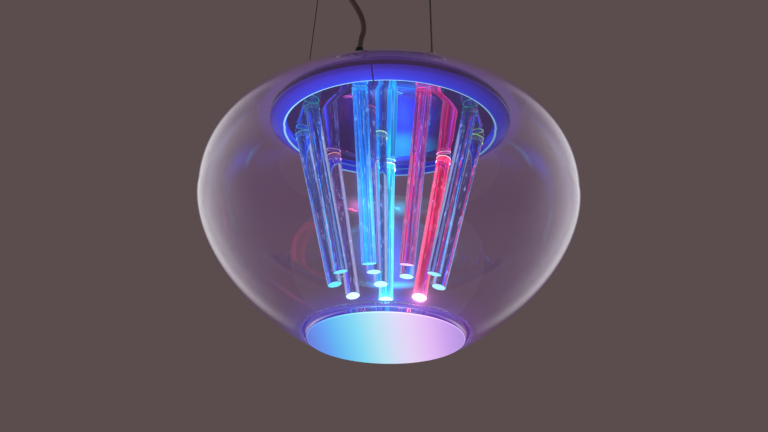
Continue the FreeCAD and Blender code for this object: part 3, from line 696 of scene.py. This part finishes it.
def wire_line(k):
    """Foot of one suspension wire and its direction upwards."""
    angle = math.radians(WIRE_FIRST_ANGLE + 360 / WIRE_COUNT * k)
    outwards = np.array([math.cos(angle), math.sin(angle), 0.0])
    upwards = np.array([0, 0, math.cos(WIRE_LEAN)]) - outwards * math.sin(WIRE_LEAN)
    return outwards * WIRE_RADIUS + (0, 0, LIP + WIRE_FOOT), upwards


class PieceOperator(bpy.types.Operator):
    """Shared parts of the operators that make pieces."""
    bl_options = {"REGISTER", "UNDO"}


class LAMP_OT_globe(PieceOperator):
    """Blown globe with its rolled rim"""
    bl_idname = "lamp.globe"
    bl_label = "Glass globe"

    def execute(self, context):
        piece = surface("globe", turn(globe_section(), 2 * lamp().segments), close_rows=True)
        place(piece, "lamp", "clear_glass", [clear_glass()], "glass_globe")
        return {"FINISHED"}


class LAMP_OT_disc(PieceOperator):
    """Opal disc in the lower opening, with its clear flange"""
    bl_idname = "lamp.disc"
    bl_label = "Opal disc"

    def execute(self, context):
        low, high = disc_low.z, disc_high.z
        plug, plug_height, flange, flange_height = 0.080, 0.0035, 0.086, 0.003
        corner, face_height, hair = 0.0008, 0.0007, 1e-6
        outline = [
            (0, low), (plug, low), (plug, low + plug_height), (flange, high - flange_height), (flange, high),
            (0, high),
        ]
        section = rounded(outline, corner)
        core = np.maximum(section[:-1, 0], section[1:, 0]) <= plug + hair
        front = core & (section[:-1, 1] < low + face_height)
        clear = finish(
            "clear flange", Base_Color=(0.98, 0.98, 0.99), Roughness=0.04, Transmission_Weight=1.0, IOR=1.02,
            Alpha=0.12,
        )
        grain(clear, scale=50.0, low=0.02, high=0.08)
        piece = surface("opal_disc", turn(section, lamp().segments), slots=np.where(front, 0, 1))
        place(piece, "lamp", "opal_acrylic", [opal(), clear], "diffuser_disc")
        return {"FINISHED"}


class LAMP_OT_ring(PieceOperator):
    """Split metal ring that carries the glass"""
    bl_idname = "lamp.ring"
    bl_label = "Retaining ring"

    def execute(self, context):
        inner, groove, land, outer = RING_INNER / MM, 119.2, 120.8, 128.6
        skirt, groove_low, top, rim = 5.8, 7.2, 9.0, 10.4
        bead, bead_points = 2.9, 14
        around = np.radians(np.linspace(180, 293, bead_points))
        nose = bead * np.stack([np.cos(around), np.sin(around)], axis=1) + (inner + bead, bead)
        rest = [
            (outer, top), (outer, rim), (land, rim), (land, top), (groove, top), (groove, groove_low),
            (land, groove_low), (land, skirt), (inner, skirt),
        ]
        section = lip_heights(np.concatenate([nose, rest]))
        half_gap = RING_GAP / 2 / RING_MIDDLE
        angles = np.linspace(RING_SPLIT + half_gap, RING_SPLIT + 2 * math.pi - half_gap, 2 * lamp().segments)
        grid = swept(section, angles).transpose(1, 0, 2)
        ends = np.stack([np.repeat(row.mean(0)[None], len(section), axis=0) for row in (grid[0], grid[-1])])
        piece = surface("ring", np.concatenate([ends[:1], grid, ends[1:]]))
        place(piece, "lamp", "satin_steel", [ring_metal()], "retaining_ring")
        return {"FINISHED"}


class LAMP_OT_gasket(PieceOperator):
    """Black gasket between the ring and the glass"""
    bl_idname = "lamp.gasket"
    bl_label = "Gasket"

    def execute(self, context):
        inner, bend, outer = 121, 124.2, 128.6
        foot, top, ledge, corner = 10.4, 21.2, 4.9, 0.0005
        seat = (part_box("glass_gasket")[1].z - LIP) / MM - ledge
        outline = [
            (inner, foot), (outer, foot), (outer, seat), (bend, seat), (bend, top), (inner, top),
            (inner, foot),
        ]
        section = rounded(lip_heights(outline), corner)[:-1]
        # painted light: the black rubber gives a faint blue glow
        rubber = glow(
            "gasket rubber", (0.12, 0.04, 1.0), 0.03, Base_Color=(0.006, 0.005, 0.02), Roughness=0.55,
        )
        relief(rubber, grain(rubber, scale=700.0, low=0.45, high=0.65), strength=0.1, distance=0.0002)
        piece = surface("gasket", turn(section, lamp().segments), close_rows=True)
        place(piece, "lamp", "black_rubber", [rubber], "glass_gasket")
        return {"FINISHED"}


class LAMP_OT_dish(PieceOperator):
    """Polished dish behind the rods"""
    bl_idname = "lamp.dish"
    bl_label = "Polished dish"

    def execute(self, context):
        hem, hem_low, hem_rise = 0.113, 0.0059, 0.0024
        back = dish_back(count=30)[::-1]
        hem_high = back[0, 1] + hem_rise
        edge = np.array([(hem, LIP + hem_low), (hem, hem_high), (DISH_REACH, hem_high)])
        section = np.concatenate([dish_face(count=40), edge, back])
        piece = surface("dish", turn(section, lamp().segments))
        place(piece, "lamp", "dark_mirror", [dish_polish()], "reflector_dish")
        return {"FINISHED"}


class LAMP_OT_rods(PieceOperator):
    """Twelve clear light rods with glowing ends"""
    bl_idname = "lamp.rods"
    bl_label = "Light rods"

    def execute(self, context):
        radius, edge, side_points, end_circle = lamp().rod_diameter / 2, 0.0004, 14, 0.6
        side = [(radius, z) for z in np.linspace(edge, ROD_LENGTH - edge, side_points)]
        end = [(0, 0), (radius * end_circle, 0), (radius - edge, 0)]
        outline = [*end, *side, (radius - edge, ROD_LENGTH), (0, ROD_LENGTH)]
        slots = [1, 1] + [0] * (len(outline) - 3)
        focus = np.array([0, 0, ROD_FOCUS])
        for number, direction in enumerate(rod_lines(), 1):
            body, strength, edge_colour, edge_strength, end_colour, end_strength = ROD_LIGHT[number - 1][:6]
            grid = tilt(turn(outline, ROD_SEGMENTS), focus + direction * ROD_BOTTOM, direction)
            clear = rod_body(number, body, strength, edge_colour, edge_strength)
            bright = glow(
                "rod %02d end" % number, end_colour, end_strength, Base_Color=(0.6, 0.7, 0.75),
                Roughness=0.2,
            )
            piece = surface("rod_%02d" % number, grid, slots=slots)
            place(piece, "lamp", "clear_acrylic", [clear, bright], "light_rod_%02d" % number)
        return {"FINISHED"}


class LAMP_OT_collars(PieceOperator):
    """Clear collar and stub over each rod"""
    bl_idname = "lamp.collars"
    bl_label = "Rod collars"

    def execute(self, context):
        radius, wall, grip, cap = lamp().rod_diameter / 2, 0.0007, 0.0044, 0.0006
        slots = [0, 0, 0, 0, 1, 0, 0]
        focus = np.array([0, 0, ROD_FOCUS])
        for number, direction in enumerate(rod_lines(), 1):
            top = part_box("rod_collar_%02d" % number)[1].z
            reach = (top - ROD_FOCUS) / direction[2] - (ROD_TOP - grip)
            # the stub's end leans, so its centre stops below the node's top
            length = reach - 0.5 * radius * math.hypot(direction[0], direction[1])
            outline = [
                (0, grip), (radius, grip), (radius, 0), (radius + wall, 0), (radius + wall, grip + cap),
                (radius, grip + cap), (radius, length), (0, length),
            ]
            grid = tilt(turn(outline, ROD_SEGMENTS), focus + direction * (ROD_TOP - grip), direction)
            colour, strength = ROD_LIGHT[number - 1][6:]
            clear = collar_clear(number, colour, strength)
            bright = glow("collar %02d edge" % number, colour, 2.0 * strength, Base_Color=(0.6, 0.7, 0.75))
            piece = surface("collar_%02d" % number, grid, slots=slots)
            place(piece, "lamp", "clear_collar", [clear, bright], "rod_collar_%02d" % number)
        return {"FINISHED"}


class LAMP_OT_housing(PieceOperator):
    """Cover over the dish, and finishes for what is behind it and for the disc's seal"""
    bl_idname = "lamp.housing"
    bl_label = "Housing"

    def execute(self, context):
        crown, top, outer, shoulder, foot, wall, corner = 66, 52, 121.8, 27, 21.6, 1.2, 0.0008
        outline = [
            (0, top), (crown, top), (outer, shoulder), (outer, foot), (outer - wall, foot),
            (outer - wall, shoulder - wall / 2), (crown - wall / 4, top - wall), (0, top - wall),
        ]
        paint = finish("cover paint", Base_Color=(0.05, 0.047, 0.055), Metallic=0.0, Roughness=0.65)
        relief(paint, grain(paint, scale=900.0, low=0.42, high=0.6), strength=0.12, distance=0.0002)
        section = rounded(lip_heights(outline), corner)
        piece = surface("cover", turn(section, lamp().segments))
        place(piece, "lamp", "grey_paint", [paint], "top_cover")
        cast = finish("cast aluminium", Base_Color=(0.55, 0.55, 0.57), Metallic=1.0, Roughness=0.5)
        relief(cast, grain(cast, scale=350.0, low=0.4, high=0.65), strength=0.3, distance=0.0004)
        zinc = finish("zinc steel", Base_Color=(0.6, 0.6, 0.6), Metallic=1.0, Roughness=0.35)
        grain(zinc, scale=400.0, low=0.28, high=0.45)
        source = glow("light sources", (0.5, 0.75, 1.0), 2.0, Base_Color=(0.8, 0.8, 0.5), Roughness=0.3)
        seal = finish(
            "clear seal", Base_Color=(0.97, 0.97, 0.98), Roughness=0.05, Transmission_Weight=1.0, IOR=1.02,
            Alpha=0.15,
        )
        grain(seal, scale=80.0, low=0.03, high=0.10)
        rubber = finish("relief rubber", Base_Color=(0.02, 0.017, 0.017), Roughness=0.6)
        relief(rubber, grain(rubber, scale=500.0, low=0.5, high=0.7), strength=0.1, distance=0.0002)
        dress(cast, "light_base", "led_stars")
        dress(source, "led_chips")
        dress(zinc, "cover_screws", *("wire_anchor_%d" % (k + 1) for k in range(WIRE_COUNT)))
        dress(seal, "disc_seal")
        dress(rubber, "cord_relief", "cord_grommet")
        return {"FINISHED"}


class LAMP_OT_wires(PieceOperator):
    """Taut suspension wires"""
    bl_idname = "lamp.wires"
    bl_label = "Suspension wires"

    def execute(self, context):
        sunk = 0.006
        steel = finish("wire steel", Base_Color=(0.09, 0.055, 0.055), Metallic=0.3, Roughness=0.5)
        grain(steel, scale=2000.0, low=0.3, high=0.5)
        for k in range(WIRE_COUNT):
            foot, direction = wire_line(k)
            start = foot - direction * sunk
            end = foot + direction * ((WIRE_TOP - foot[2]) / direction[2])
            line = thick_line("wire_%d" % (k + 1), lamp().wire_diameter, roundness=4)
            spline = line.splines.new("POLY")
            spline.points.add(1)
            spline.points[0].co = (*start, 1)
            spline.points[1].co = (*end, 1)
            piece = link_to_scene("wire_%d" % (k + 1), line)
            place(piece, "lamp", "wire_steel", [steel], "suspension_wire_%d" % (k + 1))
        return {"FINISHED"}


class LAMP_OT_cord(PieceOperator):
    """Power cord"""
    bl_idname = "lamp.cord"
    bl_label = "Power cord"

    def execute(self, context):
        line = thick_line("cord", lamp().cord_diameter, roundness=8)
        line.resolution_u = 16
        spline = line.splines.new("NURBS")
        spline.points.add(len(CORD_POINTS) - 1)
        for point, (x, y, z) in zip(spline.points, CORD_POINTS):
            point.co = (x * MM, y * MM, LIP + z * MM, 1)
        spline.order_u = 3
        spline.use_endpoint_u = True
        piece = link_to_scene("cord", line)
        sheath = finish("cord sheath", Base_Color=tuple(tints().cord), Roughness=0.5)
        relief(sheath, grain(sheath, scale=900.0, low=0.42, high=0.62), strength=0.1, distance=0.0002)
        place(piece, "lamp", "cord_rubber", [sheath], "power_cord")
        return {"FINISHED"}


class LAMP_OT_ceiling(PieceOperator):
    """Grippers, ceiling cup, bracket and what the cup hides"""
    bl_idname = "lamp.ceiling"
    bl_label = "Ceiling end"

    def execute(self, context):
        nickel = finish("nickel plate", Base_Color=(0.66, 0.64, 0.6), Metallic=1.0, Roughness=0.2)
        grain(nickel, scale=500.0, low=0.15, high=0.28)
        satin = finish("cup satin", Base_Color=(0.55, 0.55, 0.56), Metallic=1.0, Roughness=0.3)
        grain(satin, scale=200.0, low=0.26, high=0.4, stretch=(1.0, 1.0, 8.0))
        steel = finish("bracket steel", Base_Color=(0.58, 0.58, 0.58), Metallic=1.0, Roughness=0.4)
        grain(steel, scale=150.0, low=0.3, high=0.5)
        plastic = finish("white plastic", Base_Color=(0.72, 0.72, 0.7), Roughness=0.45)
        relief(plastic, grain(plastic, scale=600.0, low=0.4, high=0.55), strength=0.08, distance=0.0002)
        brass = finish("bare brass", Base_Color=(0.75, 0.55, 0.22), Metallic=1.0, Roughness=0.3)
        grain(brass, scale=500.0, low=0.22, high=0.4)
        for k in range(1, WIRE_COUNT + 1):
            dress(nickel, "gripper_barrel_%d" % k)
            dress(brass, "gripper_plunger_%d" % k)
            dress(steel, "gripper_spring_%d" % k)
        dress(satin, "canopy_cup")
        dress(steel, "ceiling_bracket")
        dress(plastic, "led_driver", "terminal_block", "cord_clamp")
        dress(brass, "earth_terminal")
        return {"FINISHED"}


def light_room(world, pitch):
    """World colour by direction: taupe ahead, pale grey at both sides, dim behind and overhead."""
    paleness = [(0.0, 0.12), (0.47, 0.16), (0.62, 0.38), (0.82, 0.60), (0.90, 0.80), (1.0, 0.80)]
    pale_tint = np.array((1.0, 0.985, 0.985))
    low_backdrop = (0.030, 0.018, 0.026)
    where = coordinates(world, "Generated")
    x, _, z = axes(world, where)
    ahead = vector_of(world, "DOT_PRODUCT", where, (0.0, math.cos(pitch), math.sin(pitch)))
    stops = [(position, pale_tint * amount) for position, amount in paleness]
    walls = ramp_of(world, ranged(world, ahead, (-1.0, 1.0)), stops)
    beside = ranged(world, number_of(world, "ABSOLUTE", x), (0.27, 0.46), smooth=True)
    above_floor = ranged(world, z, (-0.45, 0.2), (0.12, 1.0), smooth=True)
    below_ceiling = ranged(world, z, (0.45, 0.9), (1.0, 0.1), smooth=True)
    share = number_of(world, "MULTIPLY", number_of(world, "MULTIPLY", beside, above_floor), below_ceiling)
    level = ranged(world, z, (-0.30, 0.02), smooth=True)
    backdrop = blend(world, level, low_backdrop, tuple(tints().backdrop))
    feed(world, world.node_tree.nodes["Background"].inputs["Color"], blend(world, share, backdrop, walls))


def area_light(name, position, aim, size, power, colour):
    """Soft rectangular light that looks at a point and isn't itself seen in gloss or through glass."""
    data = bpy.data.lights.new(name, "AREA")
    data.shape = "RECTANGLE"
    data.size, data.size_y = size
    data.energy = power
    data.color = colour
    light = link_to_scene(name, data)
    light.location = position
    light.visible_glossy = False
    light.visible_transmission = False
    light.rotation_mode = "QUATERNION"
    light.rotation_quaternion = (Vector(aim) - Vector(position)).to_track_quat("-Z", "Y")


def add_camera(scene, settings, position):
    """Camera that looks along +Y, tipped up by the pitch and leaned by the roll."""
    data = bpy.data.cameras.new("camera")
    data.sensor_width = 36
    data.lens = settings.lens
    data.clip_start, data.clip_end = 0.05, 50
    camera = link_to_scene("camera", data)
    pitch, roll = settings.pitch, settings.roll
    ahead = Vector((0, math.cos(pitch), math.sin(pitch)))
    up = Vector((0, -math.sin(pitch), math.cos(pitch)))
    right = Vector((1, 0, 0))
    side = right * math.cos(roll) + up * math.sin(roll)
    over = up * math.cos(roll) - right * math.sin(roll)
    turned = Matrix((side, over, -ahead)).transposed().to_4x4()
    turned.translation = Vector(position)
    camera.matrix_world = turned
    scene.camera = camera


def bloom(scene):
    """Soft glow round the brightest rod ends."""
    scene.use_nodes = True
    tree = scene.node_tree
    tree.nodes.clear()
    layers = tree.nodes.new("CompositorNodeRLayers")
    glare = tree.nodes.new("CompositorNodeGlare")
    glare.glare_type = "BLOOM"
    out = tree.nodes.new("CompositorNodeComposite")
    for name, value in (("Threshold", 1.0), ("Strength", 1.0), ("Size", 0.12), ("Saturation", 1.0)):
        if name in glare.inputs:
            glare.inputs[name].default_value = value
    tree.links.new(layers.outputs["Image"], glare.inputs["Image"])
    tree.links.new(glare.outputs["Image"], out.inputs["Image"])


class LAMP_OT_stage(PieceOperator):
    """Pale floor, room tone, soft front light and the camera"""
    bl_idname = "lamp.stage"
    bl_label = "Stage"

    def execute(self, context):
        scene, settings = context.scene, context.scene.lamp_stage
        floor_level, flat, edge, edge_drop, depth = -2.4, 1.6, 2.2, 0.002, 0.02
        full_power = 8
        section = [(0, 0), (flat, 0), (edge, -edge_drop), (edge, -depth), (0, -depth)]
        floor = surface("floor", turn(np.array(section) + (0, floor_level), FLOOR_SEGMENTS))
        pale = finish("pale floor", Base_Color=(0.72, 0.71, 0.69), Roughness=0.6)
        grain(pale, scale=3.0, low=0.5, high=0.7)
        floor.data.materials.append(pale)
        world = bpy.data.worlds.new("room")
        world.use_nodes = True
        light_room(world, settings.pitch)
        scene.world = world
        area_light(
            "front fill", position=(-0.6, -2.6, 0.6), aim=(0, 0, LIP - 0.08), size=(1.8, 1.2),
            power=full_power * settings.softbox, colour=(1.0, 0.98, 0.97),
        )
        add_camera(scene, settings, position=(-0.0044, -1.4542, LIP - 0.7311))
        scene.view_settings.view_transform = "Standard"
        scene.view_settings.look = "None"
        bloom(scene)
        return {"FINISHED"}


class LAMP_PT_panel(bpy.types.Panel):
    """Sidebar panel with the sizes, colours and pieces"""
    bl_idname = "LAMP_PT_panel"
    bl_label = "Pendant lamp"
    bl_space_type = "VIEW_3D"
    bl_region_type = "UI"
    bl_category = "Lamp"

    def draw(self, context):
        for group in (context.scene.lamp_sizes, context.scene.lamp_colours, context.scene.lamp_stage):
            box = self.layout.box()
            for name in group.bl_rna.properties.keys():
                if name not in ("rna_type", "name"):
                    box.prop(group, name)
        for operator in OPERATORS:
            self.layout.operator(operator.bl_idname)


GROUPS = (LampSizes, LampColours, StageSettings)
OPERATORS = (
    LAMP_OT_globe, LAMP_OT_disc, LAMP_OT_ring, LAMP_OT_gasket, LAMP_OT_dish, LAMP_OT_rods, LAMP_OT_collars,
    LAMP_OT_housing, LAMP_OT_wires, LAMP_OT_cord, LAMP_OT_ceiling, LAMP_OT_stage,
)


def register():
    """Registers the property groups, operators and panel."""
    for group in (*GROUPS, *OPERATORS, LAMP_PT_panel):
        bpy.utils.register_class(group)
    bpy.types.Scene.lamp_sizes = PointerProperty(type=LampSizes)
    bpy.types.Scene.lamp_colours = PointerProperty(type=LampColours)
    bpy.types.Scene.lamp_stage = PointerProperty(type=StageSettings)


def unregister():
    """Removes what register adds."""
    del bpy.types.Scene.lamp_sizes
    del bpy.types.Scene.lamp_colours
    del bpy.types.Scene.lamp_stage
    for group in (LAMP_PT_panel, *reversed(OPERATORS), *reversed(GROUPS)):
        bpy.utils.unregister_class(group)


def main():
    """Registers the add-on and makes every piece."""
    register()
    for make in (
        bpy.ops.lamp.globe, bpy.ops.lamp.disc, bpy.ops.lamp.ring, bpy.ops.lamp.gasket, bpy.ops.lamp.dish,
        bpy.ops.lamp.rods, bpy.ops.lamp.collars, bpy.ops.lamp.housing, bpy.ops.lamp.wires, bpy.ops.lamp.cord,
        bpy.ops.lamp.ceiling, bpy.ops.lamp.stage,
    ):
        make()


if __name__ == "__main__":
    main()
